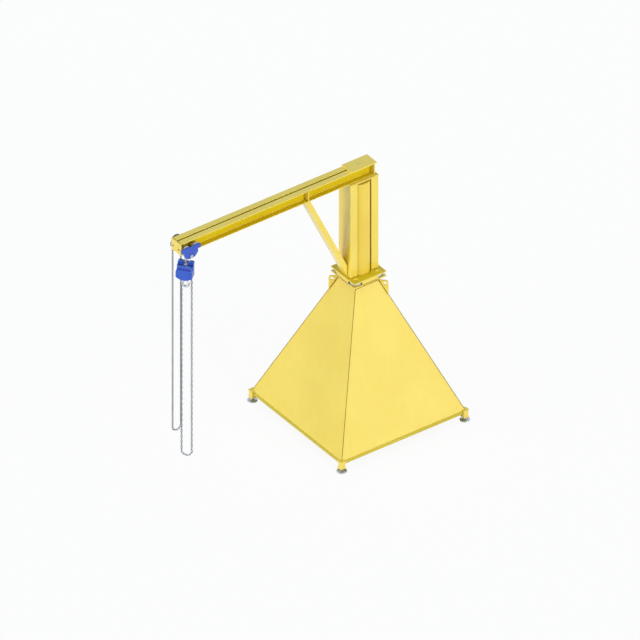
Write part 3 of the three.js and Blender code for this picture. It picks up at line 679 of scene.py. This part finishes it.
lower_plate = dressed("cage_lower_plate", 0.0014, "slewing_frame")
# The side strips' cut ends are dark brown: painted shade, for the shaded gaps beside the rollers.
paint(lower_plate, yellow_weld_and_shade, strip_end)
upper_plate = dressed("cage_upper_plate", 0.0014, "slewing_frame")
# The upper plate's top takes the painted shade near the mast.
paint(upper_plate, yellow_shade_near_mast, lambda centre, normal: centre.z > plate_level - 0.001)
strip_foot = cage_low.z + 0.0102
strip_bead = 0.0032
for i, (out_x, out_y) in enumerate(((1, 0), (0, 1), (-1, 0), (0, -1)), start=1):
    out = Vector((out_x, out_y, 0))
    middle = Vector((slew_axis.x, 0, strip_foot)) + out * (plate_half - 0.0002)
    reach = Vector((-out.y, out.x, 0)) * strip_half
    weld(f"strip_weld_{i}", [middle - reach, middle + reach], strip_bead, "slewing_frame")
roller_low, roller_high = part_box("guide_roller_1")
roller_radius = (roller_high.x - roller_low.x) / 2
roller_half = (roller_high.z - roller_low.z) / 2
bearing_bore = 0.0105
roller_profile = [
    (bearing_bore, -roller_half + 0.0008), (0.019, -roller_half + 0.0008),
    (0.0195, -roller_half + 0.003), (0.03, -roller_half + 0.003), (0.0305, -roller_half),
    (roller_radius - 0.004, -roller_half), (roller_radius - 0.0015, -roller_half + 0.001),
    (roller_radius, -roller_half + 0.0035), (roller_radius, roller_half - 0.0035),
    (roller_radius - 0.0015, roller_half - 0.001), (roller_radius - 0.004, roller_half),
    (0.0305, roller_half), (0.03, roller_half - 0.003), (0.0195, roller_half - 0.003),
    (0.019, roller_half - 0.0008), (bearing_bore, roller_half - 0.0008),
]
for i in range(1, 5):
    roller_place = Vector(joints[f"roller_turn_{i}"]["pos_m"])
    roller_place.z = (roller_low.z + roller_high.z) / 2
    roller = turned(f"running_roller_{i}", roller_place, roller_profile, 64, closed=True)
    smooth(roller, 40)
    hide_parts(f"guide_roller_{i}")
    fit(roller, f"roller_{i}", "bright_steel", steel)


# ------------------------------------------------------------------ columns, head plate and brace
# Two hot-rolled channels face the mast, and carry the head plate. The brace is a square-cornered
# tube. Each foot is welded all round where it can be reached.

dressed("column_front", 0.0022, "slewing_frame", segments=3)
dressed("column_rear", 0.0022, "slewing_frame", segments=3)
dressed("head_plate", 0.0012, "slewing_frame")
dressed("brace", 0.0009, "slewing_frame")


def column_weld(node, side):
    """The weld round a channel's back and flanges, on the cage's upper plate."""
    low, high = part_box(node)
    web, tip = (high.x, low.x) if side > 0 else (low.x, high.x)
    run = [
        Vector((tip, low.y, low.z)), Vector((web, low.y, low.z)),
        Vector((web, high.y, low.z)), Vector((tip, high.y, low.z)),
    ]
    weld(node + "_weld", run, 0.0028, "slewing_frame")


column_weld("column_front", 1)
column_weld("column_rear", -1)
head_low, head_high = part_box("head_plate")
boom_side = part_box("boom_channel_left")[1].y
column_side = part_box("column_front")[1].y
for side, label in ((1, "left"), (-1, "right")):
    weld(f"head_{label}_weld", [
        Vector((head_low.x + 0.004, side * boom_side, head_high.z)),
        Vector((head_high.x - 0.004, side * boom_side, head_high.z)),
    ], 0.0026, "slewing_frame")
    weld(f"head_under_{label}_weld", [
        Vector((head_low.x + 0.012, side * column_side, head_low.z)),
        Vector((head_high.x - 0.012, side * column_side, head_low.z)),
    ], 0.0022, "slewing_frame")
brace_low, brace_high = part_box("brace")
brace_lean = math.radians(25)
brace_depth = 0.042
brace_bead = 0.0026
brace_level = brace_depth / math.cos(brace_lean)
brace_end = brace_high.z
weld("brace_head_weld", [
    Vector((brace_high.x, brace_low.y, brace_end)),
    Vector((brace_high.x, brace_high.y, brace_end)),
    Vector((brace_high.x - brace_level, brace_high.y, brace_end)),
    Vector((brace_high.x - brace_level, brace_low.y, brace_end)),
], brace_bead, "slewing_frame", closed=True)
brace_back = brace_depth / math.sin(brace_lean) / 2
brace_root = cage_low.z + 0.093
weld("brace_foot_weld", [
    Vector((brace_low.x, brace_low.y, brace_root - 0.04)),
    Vector((brace_low.x, brace_low.y, brace_root + brace_back)),
    Vector((brace_low.x, brace_high.y, brace_root + brace_back)),
    Vector((brace_low.x, brace_high.y, brace_root - 0.04)),
], brace_bead, "slewing_frame")


# ------------------------------------------------------------------ boom
# Two channels stand back to back with a slot between them. Plates close both ends, a thick plate
# lies on top over the mast, and a stiffener fills each channel above the brace.

# The channels' webs and the inner faces of their flanges are a deeper gold: painted shade, where
# the flanges shade them.
yellow_channel_shade = enamel(
    "yellow_channel_shade", colour("dec317"), colour("d1b512"), primer_grey, 0.8, 0.5, 0, 0.1,
)
boom_low, boom_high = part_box("boom_channel_left")


def in_channel(centre, normal):
    """Whether a channel's face is its web, or the inner face of a flange."""
    web = abs(normal.y) > 0.9 and abs(centre.y) < boom_high.y - 0.01
    flange = abs(normal.z) > 0.9 and boom_low.z + 0.002 < centre.z < boom_high.z - 0.002
    return web or flange


for side in ("left", "right"):
    channel = dressed(f"boom_channel_{side}", 0.0016, "slewing_frame", segments=3)
    # Painted shade inside the channel.
    paint(channel, yellow_channel_shade, in_channel)
    dressed(f"stiffener_{side}", 0.001, "slewing_frame")
dressed("boom_rear_plate", 0.001, "slewing_frame")
dressed("top_plate", 0.0014, "slewing_frame")

end_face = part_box("boom_end_plate")[1].x


def bolts_sunk(place):
    """Sinks the plain bolt ends of the end plate under their hexagon heads."""
    return place - Vector((0.0025, 0, 0)) if place.x > end_face - 0.001 else place


dressed("boom_end_plate", 0.001, "slewing_frame", drawn_in=bolts_sunk)
bolt_place = 0.036
bolt_across = 0.0145
bolt_rise = 0.0035
bolt_height = (boom_low.z + boom_high.z) / 2 - 0.008
for i, side in ((1, 1), (2, -1)):
    bolt_middle = Vector((end_face, side * bolt_place, bolt_height))
    head = hexagon(f"end_bolt_{i}", bolt_middle, bolt_across, -bolt_rise, 0)
    smooth(laid(head, bolt_middle, Vector((1, 0, 0))), 30)
    fit(head, "slewing_frame", "zinc_plate", chain_zinc, chain_zinc)

boom_bead = 0.002
web_thick = 0.006
flange_thick = 0.0062
slot_edge = 0.0085
for side, label in ((1, "left"), (-1, "right")):
    low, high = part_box(f"boom_channel_{label}")
    web = side * (min(abs(low.y), abs(high.y)) + web_thick)
    tip = side * max(abs(low.y), abs(high.y))
    floor_level, roof_level = low.z + flange_thick, high.z - flange_thick
    stiff_low, stiff_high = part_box(f"stiffener_{label}")
    for face, place in (("inner", stiff_low.x), ("outer", stiff_high.x)):
        weld(f"stiffener_{label}_{face}_weld", [
            Vector((place, tip, floor_level)), Vector((place, web, floor_level)),
            Vector((place, web, roof_level)), Vector((place, tip, roof_level)),
        ], boom_bead, "slewing_frame")
    for plate, place in (("end", high.x), ("rear", low.x)):
        weld(f"{plate}_plate_{label}_weld", [
            Vector((place, tip, high.z)), Vector((place, side * slot_edge, high.z)),
        ], boom_bead, "slewing_frame")


# ------------------------------------------------------------------ trolley
# Two pressed side plates in blue enamel hang from four flanged steel wheels. The right-hand wheels
# have gear teeth on their flanges, which a pinion on the hand wheel's shaft drives.

blue_fresh = colour("2453c2")
blue_shade = colour("1c46b0")
bare_grey = colour("6d7480")
blue = enamel("blue_enamel", blue_fresh, blue_shade, bare_grey, 0.8, 0.3, 0.25)
blue_edge = enamel("blue_edge", colour("3a64cc"), blue_fresh, bare_grey, 0.74, 0.34, 0.25)
dressed("side_plate_left", 0.0012, "trolley", blue, blue_edge, 3)
dressed("side_plate_right", 0.0012, "trolley", blue, blue_edge, 3)
dressed("load_bar", 0.0009, "trolley", zinc, zinc)


def pick_faces(piece, test):
    """In edit mode, selects the faces whose centre and normal pass a test."""
    bpy.context.tool_settings.mesh_select_mode = (False, False, True)
    bpy.ops.mesh.select_all(action="DESELECT")
    bpy.ops.object.mode_set(mode="OBJECT")
    for face in piece.data.polygons:
        face.select = test(face.center, face.normal)
    bpy.ops.object.mode_set(mode="EDIT")


def cut_teeth(piece, place, radius, low, high, teeth, depth):
    """Sinks every second face round a rim, so that the ones between stand as teeth."""
    step = math.pi / teeth

    def is_gap(centre, normal):
        flat = math.hypot(centre.x - place.x, centre.y - place.y)
        angle = math.atan2(centre.y - place.y, centre.x - place.x) % (2 * math.pi)
        level = low < centre.z - place.z < high and abs(normal.z) < 0.5
        return level and flat > radius * 0.98 and int(angle / step) % 2 == 0

    choose(piece)
    bpy.ops.object.mode_set(mode="EDIT")
    pick_faces(piece, is_gap)
    bpy.ops.mesh.extrude_faces_move(TRANSFORM_OT_shrink_fatten={"value": -depth})
    bpy.ops.object.mode_set(mode="OBJECT")
    bpy.context.tool_settings.mesh_select_mode = (True, False, False)


wheel_low, wheel_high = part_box("trolley_wheel_1")
flange_radius = (wheel_high.x - wheel_low.x) / 2
tread_radius = 0.03
flange_width = 0.006
flange_teeth = 36
wheel_bore = 0.0075
wheel_inner, wheel_outer = wheel_low.y, wheel_high.y
tread_outer = wheel_outer - flange_width
wheel_profile = [
    (wheel_bore, wheel_inner), (0.013, wheel_inner), (0.0135, wheel_inner + 0.002),
    (0.024, wheel_inner + 0.002), (0.0245, wheel_inner), (tread_radius - 0.0012, wheel_inner),
    (tread_radius, wheel_inner + 0.0012), (tread_radius, tread_outer - 0.0006),
    (tread_radius + 0.0006, tread_outer), (flange_radius - 0.0004, tread_outer),
    (flange_radius, tread_outer + 0.0004), (flange_radius, wheel_outer - 0.0004),
    (flange_radius - 0.0004, wheel_outer), (0.02, wheel_outer), (0.0195, wheel_outer - 0.0015),
    (0.0135, wheel_outer - 0.0015), (0.013, wheel_outer), (wheel_bore, wheel_outer),
]
for i, side in ((1, 1), (2, 1), (3, -1), (4, -1)):
    axle = Vector(joints[f"wheel_turn_{i}"]["pos_m"])
    axle.y = 0
    wheel = turned(f"running_wheel_{i}", axle, wheel_profile, 2 * flange_teeth, closed=True)
    if side < 0:
        cut_teeth(wheel, axle, flange_radius, tread_outer, wheel_outer, flange_teeth, 0.0024)
    laid(wheel, axle, Vector((0, side, 0)))
    smooth(wheel, 30)
    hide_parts(f"trolley_wheel_{i}")
    fit(wheel, f"wheel_{i}", "bright_steel", steel)

# The hand wheel, its shaft and the pinion are one turned piece. Its rim has a wide groove for the
# links that lie flat, and a narrow slot for those that stand on edge.

drive_middle = Vector(joints["drive_turn"]["pos_m"])
drive_low, drive_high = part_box("drive_wheel")
rim = (drive_high.x - drive_low.x) / 2
chain_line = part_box("drive_chain")[1].z - chain_half - drive_middle.z
flat_floor = chain_line - hand_wire / 2 - 0.0004
slot_floor = chain_line - hand_width / 2 - 0.0004
pinion_radius = 0.01316
pinion_end = drive_high.y - drive_middle.y
shaft_radius = 0.007
drive_profile = [
    (0.009, -0.0125), (0.0115, -0.0115), (0.0115, -0.0085), (0.0155, -0.007), (0.027, -0.007),
    (slot_floor, -0.0115), (rim - 0.001, -0.012), (rim, -0.0112), (rim - 0.0008, -0.0102),
    (flat_floor + 0.0015, -0.0094), (flat_floor, -0.008), (flat_floor, -0.0036),
    (slot_floor, -0.0034), (slot_floor, 0.0034), (flat_floor, 0.0036), (flat_floor, 0.008),
    (flat_floor + 0.0015, 0.0094), (rim - 0.0008, 0.0102), (rim, 0.0112), (rim - 0.001, 0.012),
    (slot_floor, 0.0115), (0.027, 0.007), (0.0155, 0.007), (0.0115, 0.0085), (0.0115, 0.0125),
    (shaft_radius, 0.0128), (shaft_radius, pinion_end - flange_width - 0.0002),
    (pinion_radius, pinion_end - flange_width), (pinion_radius, pinion_end),
    (shaft_radius, pinion_end),
]
drive_wheel = turned("drive_hand_wheel", drive_middle, drive_profile, 52)
cut_teeth(
    drive_wheel, drive_middle, pinion_radius, pinion_end - flange_width, pinion_end, 13, 0.0024,
)
laid(drive_wheel, drive_middle, Vector((0, 1, 0)))
smooth(drive_wheel, 35)
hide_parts("drive_wheel")
fit(drive_wheel, "drive", "zinc_plate", zinc)


# ------------------------------------------------------------------ hooks and latches
# Both hooks are drop forgings: thick at the back of the bowl, thinner at the tip and the shank,
# zinc plated. A spring latch of bent strip closes each throat, on a barrel beside the shank.

def forged(name, base, across, route, body):
    """A forged bar in an upright plane, along (across, up, thickness) points."""
    line = bpy.data.curves.new(name, "CURVE")
    line.dimensions = "3D"
    line.bevel_depth = 1
    line.bevel_resolution = 6
    line.resolution_u = 3
    line.use_fill_caps = True
    spline = line.splines.new("NURBS")
    spline.points.add(len(route) - 1)
    spline.use_endpoint_u = True
    spline.order_u = 4
    for point, (along, up, thick) in zip(spline.points, route):
        point.co = (*(base + across * along + Vector((0, 0, up))), 1)
        point.radius = thick
    bar = bpy.data.objects.new(name, line)
    scene.collection.objects.link(bar)
    bar = to_mesh(bar, name)
    smooth(bar, 50)
    return fit(bar, body, "zinc_plate", zinc)


def bowl(radius, start, end, thin, swell, tip, steps=18):
    """Points round a hook's bowl, from its back to its tip, with the tip rounded off."""
    points = []
    for i in range(steps + 1):
        share = i / steps
        angle = math.radians(start + (end - start) * share)
        section = thin + (tip - thin) * share ** 3 + swell * math.sin(math.pi * share)
        points.append((radius * math.cos(angle), radius * math.sin(angle), section))
    along, up, section = points[-1]
    for reach, share in ((0.35, 0.86), (0.6, 0.6), (0.72, 0.2)):
        lead = math.copysign(tip * reach, end - start)
        points.append(
            (along - lead * math.sin(angle), up + lead * math.cos(angle), section * share),
        )
    return points


barrel_radius = 0.0035


def latch_lug(name, base, across, joint, body):
    """The small forged lug beside a hook's neck, which holds the barrel of its latch."""
    from_base = Vector(joints[joint]["pos_m"]) - base
    reach = from_base.dot(across)
    reach -= math.copysign(barrel_radius + 0.0003, reach)
    route = [(reach * share, from_base.z, thick) for share, thick in (
        (0, 0.006), (0.4, 0.0055), (0.75, 0.0045), (0.97, 0.0036), (1, 0.001),
    )]
    return forged(name, base, across, route, body)


load_low, load_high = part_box("load_hook")
load_radius = 0.027
load_section = 0.010
load_centre = Vector(joints["hook_swivel"]["pos_m"])
shank_top = load_high.z
load_centre.z = load_low.z + load_radius + load_section
shank_rise = shank_top - load_centre.z
load_route = [
    (0, shank_rise, 0.0086), (0, shank_rise - 0.005, 0.0088), (0, shank_rise - 0.011, 0.0092),
    (-0.003, shank_rise - 0.019, 0.0096),
] + bowl(load_radius, 128, 375, 0.0094, 0.0008, 0.006)
load_hook = forged("forged_load_hook", load_centre, hoist_across, load_route, "hook")
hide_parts("load_hook")
latch_lug("load_hook_lug", load_centre, hoist_across, "lower_latch_swing", "hook")

swivel_place = Vector((load_centre.x, load_centre.y, 0))
swivel = turned("load_hook_swivel", swivel_place, [
    (0.0095, shank_top - 0.0085), (0.0118, shank_top - 0.007), (0.0122, shank_top - 0.005),
    (0.0122, shank_top - 0.0015), (0.0112, shank_top), (0.0085, shank_top + 0.0012),
    (0.005, shank_top + 0.0016),
], 40)
smooth(swivel, 45)
fit(swivel, "hook", "zinc_plate", zinc)

ring_radius = 0.024
ring_section = 0.009
ring_centre = Vector(joints["hoist_swing"]["pos_m"])
ring_centre.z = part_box("top_hook")[1].z - ring_radius - ring_section
hoist_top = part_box("hoist_frame")[1].z - 0.037
shank_fall = hoist_top - ring_centre.z
top_route = [
    (0, shank_fall - 0.02, 0.0058), (0, shank_fall - 0.002, 0.0058),
    (0, shank_fall + 0.001, ring_section), (0, shank_fall + 0.02, ring_section),
    (0, -0.045, ring_section), (0, -0.034, ring_section), (0.001, -0.028, ring_section),
] + bowl(ring_radius, 282, 560, 0.0088, 0.0004, 0.0056)
top_hook = forged("forged_top_hook", ring_centre, Vector((1, 0, 0)), top_route, "hook_mount")
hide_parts("top_hook")
latch_lug("top_hook_lug", ring_centre, Vector((1, 0, 0)), "upper_latch_swing", "hook_mount")

collar_place = Vector((ring_centre.x, ring_centre.y, hoist_top))
collar = turned("top_hook_collar", collar_place, [
    (0.0125, 0.0004), (0.014, 0.0012), (0.014, 0.0045), (0.0125, 0.006), (0.0092, 0.0065),
    (0.0088, 0.0066),
], 40)
smooth(collar, 45)
fit(collar, "hook_mount", "zinc_plate", zinc)
dressed("top_hook_latch", 0.0005, "upper_latch", zinc, zinc)
dressed("load_hook_latch", 0.0005, "lower_latch", zinc, zinc)


# ------------------------------------------------------------------ hoist
# Three blue castings stand one behind the other: the rear cover round the hand wheel, the frame
# with its two ears, and the gear cover in front, held by screws. Inside run the hand wheel and the
# load sheave. Load chain links hang from the sheave.

blue_lit_roof = enamel("blue_lit_roof", colour("4b7cf0"), colour("3f70e2"), bare_grey, 0.8, 0.4, 0.25)
blue_recess_shade = enamel("blue_recess_shade", colour("122f8c"), colour("0f2878"), bare_grey, 0.8, 0.4, 0.1)
blue_groove_shade = enamel("blue_groove_shade", colour("0c34a2"), colour("0a2e96"), bare_grey, 0.8, 0.4, 0.1)
cover_low, cover_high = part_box("front_cover")
hoist_axis = Vector(joints["hoist_swivel"]["pos_m"])
hoist_axis.z = 0


def draught(place):
    """The castings' draught: low ears that lean forward, and a back that narrows."""
    depth = (place - hoist_axis).dot(hoist_depth)
    across = (place - hoist_axis).dot(hoist_across)
    if depth < -0.05:
        place -= hoist_across * across * 0.2
    if place.z > hoist_top - 0.0005 and abs(depth + 0.044) < 0.0005:
        place += hoist_depth * 0.013
    if place.z > hoist_top:
        place.z = hoist_top + (place.z - hoist_top) * 0.65
    return place


dressed("rear_cover", 0.0018, "hoist", blue, blue_edge, 4, draught)
hoist_frame = dressed("hoist_frame", 0.0018, "hoist", blue, blue_edge, 4, draught)
front_cover = dressed("front_cover", 0.0018, "hoist", blue, blue_edge, 4)
groove_low, groove_high = cover_high.z - 0.0295, cover_high.z - 0.0045
groove_floor = 0.0505


def between_ears(centre, normal):
    """Whether a face of the hoist's frame is its top, between the two ears."""
    return normal.z > 0.9 and centre.z < hoist_top + 0.001


def cover_roof(centre, normal):
    """Whether a face is the top of the gear cover."""
    return normal.z > 0.9 and centre.z > cover_high.z - 0.001


def cover_groove(centre, normal):
    """Whether a face is in the groove across the gear cover's front."""
    level = groove_low < centre.z < groove_high
    front = (centre - hoist_axis).dot(hoist_depth) > groove_floor
    return level and front and normal.dot(hoist_depth) > -0.5


# The frame's top between the ears is a deep blue: painted shade in the recess at the ears' feet.
paint(hoist_frame, blue_recess_shade, between_ears)
# The gear cover's top is a paler blue: painted light, where it faces up.
paint(front_cover, blue_lit_roof, cover_roof)
# The groove across the cover is a darker blue: painted shade in the recess.
paint(front_cover, blue_groove_shade, cover_groove)
for node in ("hoist_wheel", "load_chain"):
    recoat(node, steel)


def running_clear(place):
    """Takes the sheave back a little from its pocket's and its bearings' rounded corners."""
    end_play = 0.0024
    from_middle = place - Vector(joints["sheave_turn"]["pos_m"])
    place -= (from_middle - hoist_depth * from_middle.dot(hoist_depth)) * 0.04
    depth = (place - hoist_axis).dot(hoist_depth)
    if depth > 0.017:
        return place - hoist_depth * end_play
    return place + hoist_depth * end_play if depth < -0.0115 else place


dressed("load_sheave", 0.0005, "sheave", steel, steel, drawn_in=running_clear)

cover_face = 0.054
screw_places = [(-0.05, 0.066), (0.05, 0.066), (-0.04, 0.022), (0.04, 0.022)]
for i, (across, rise) in enumerate(screw_places, start=1):
    screw_middle = hoist_axis + hoist_depth * cover_face + hoist_across * across
    screw_middle.z = cover_low.z + rise
    screw = turned(f"cover_screw_{i}", screw_middle, [
        (0.0042, -0.001), (0.0045, 0.0006), (0.0045, 0.0022), (0.0038, 0.003), (0.0024, 0.003),
        (0.0022, 0.0014),
    ], 24)
    laid(screw, screw_middle, hoist_depth)
    smooth(screw, 40)
    fit(screw, "hoist", "blue_paint", blue_edge)

guide_drop = 0.004
guide_back = 0.03
guide_lean = 0.45
guide_place = Vector(joints["hand_wheel_turn"]["pos_m"]) - hoist_depth * guide_back
for i, side in ((1, 1), (2, -1)):
    middle = guide_place + hoist_across * side * chain_line
    middle.z = cover_low.z + guide_drop
    clear_selection()
    bpy.ops.mesh.primitive_torus_add(
        major_segments=40, minor_segments=12, major_radius=0.0128, minor_radius=0.0018,
        location=middle,
    )
    guide = named(f"chain_guide_{i}")
    bpy.ops.object.transform_apply(location=True, rotation=True, scale=True)
    laid(guide, middle, (Vector((0, 0, 1)) - hoist_across * side * guide_lean).normalized())
    smooth(guide, 60)
    fit(guide, "hoist", "zinc_plate", zinc)

load_pitch = 0.012
load_wire = 0.004
load_width = 0.0135
upright = Vector((0, 0, 1))
chain_low, chain_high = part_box("load_chain")
first_link = chain_low.z + load_pitch / 2 + load_wire
link_count = int((chain_high.z - first_link) / load_pitch)
load_places = []
for i in range(link_count):
    flat = hoist_depth if i % 2 else hoist_across
    turn = Matrix((upright, flat.cross(upright), flat)).transposed().to_4x4()
    middle = hoist_axis + Vector((0, 0, first_link + i * load_pitch))
    load_places.append(Matrix.Translation(middle) @ turn)
load_link = chain_link("load_link", load_pitch, load_wire, load_width)
load_chain = string_links("load_chain_links", load_link, load_places)
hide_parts("load_chain")
fit(load_chain, "lift_chain", "zinc_plate", zinc)


# ------------------------------------------------------------------ floor and light
# A plain pale floor that keeps a soft shadow, and wide soft lamps from the side that is seen, with
# a weaker and cooler one from above.

def white_where_seen(tree, lit, share):
    """Mixes a plain white light into a shader, for what the camera and reflections see of it."""
    path = tree.nodes.new("ShaderNodeLightPath")
    seen = Value(tree, path.outputs["Is Camera Ray"]) + Value(tree, path.outputs["Is Glossy Ray"])
    seen = seen + Value(tree, path.outputs["Is Transmission Ray"])
    glow = tree.nodes.new("ShaderNodeEmission" if share < 1 else "ShaderNodeBackground")
    glow.inputs["Color"].default_value = (1, 1, 1, 1)
    mixed = tree.nodes.new("ShaderNodeMixShader")
    tree.links.new((seen * share).socket, mixed.inputs["Fac"])
    tree.links.new(lit.outputs[0], mixed.inputs[1])
    tree.links.new(glow.outputs[0], mixed.inputs[2])
    return mixed


clear_selection()
bpy.ops.mesh.primitive_plane_add(size=60)
floor = named("floor")
floor_finish = Finish("pale_floor")
floor_finish.set("Base Color", (0.9, 0.9, 0.9, 1))
floor_finish.set("Roughness", 0.9)
floor_tree = floor_finish.shader.id_data
floor_mix = white_where_seen(floor_tree, floor_finish.shader, 0.92)
floor_tree.links.new(
    floor_mix.outputs[0], floor_tree.nodes["Material Output"].inputs["Surface"],
)
floor.data.materials.append(floor_finish.material)

world = bpy.data.worlds.new("studio")
scene.world = world
world.use_nodes = True
room = world.node_tree.nodes["Background"]
room.inputs["Color"].default_value = (0.86, 0.98, 1.0, 1)
room.inputs["Strength"].default_value = 0.42
world_mix = white_where_seen(world.node_tree, room, 1)
world.node_tree.links.new(
    world_mix.outputs[0], world.node_tree.nodes["World Output"].inputs["Surface"],
)


def lamp(name, toward, strength, tint, softness):
    """A distant soft lamp whose light comes from a direction."""
    light = bpy.data.lights.new(name, "SUN")
    light.energy = strength
    light.color = tint
    light.angle = math.radians(softness)
    holder = bpy.data.objects.new(name, light)
    holder.rotation_euler = Vector(toward).to_track_quat("Z", "Y").to_euler()
    scene.collection.objects.link(holder)


lamp("side_lamp", (-0.15, 0.97, 0.2), 1.75, (1, 0.97, 0.92), 30)
lamp("end_lamp", (0.97, -0.12, 0.2), 1.6, (1, 0.98, 0.95), 24)
lamp("top_lamp", (0.1, 0.1, 1), 0.5, (0.7, 1, 1), 60)
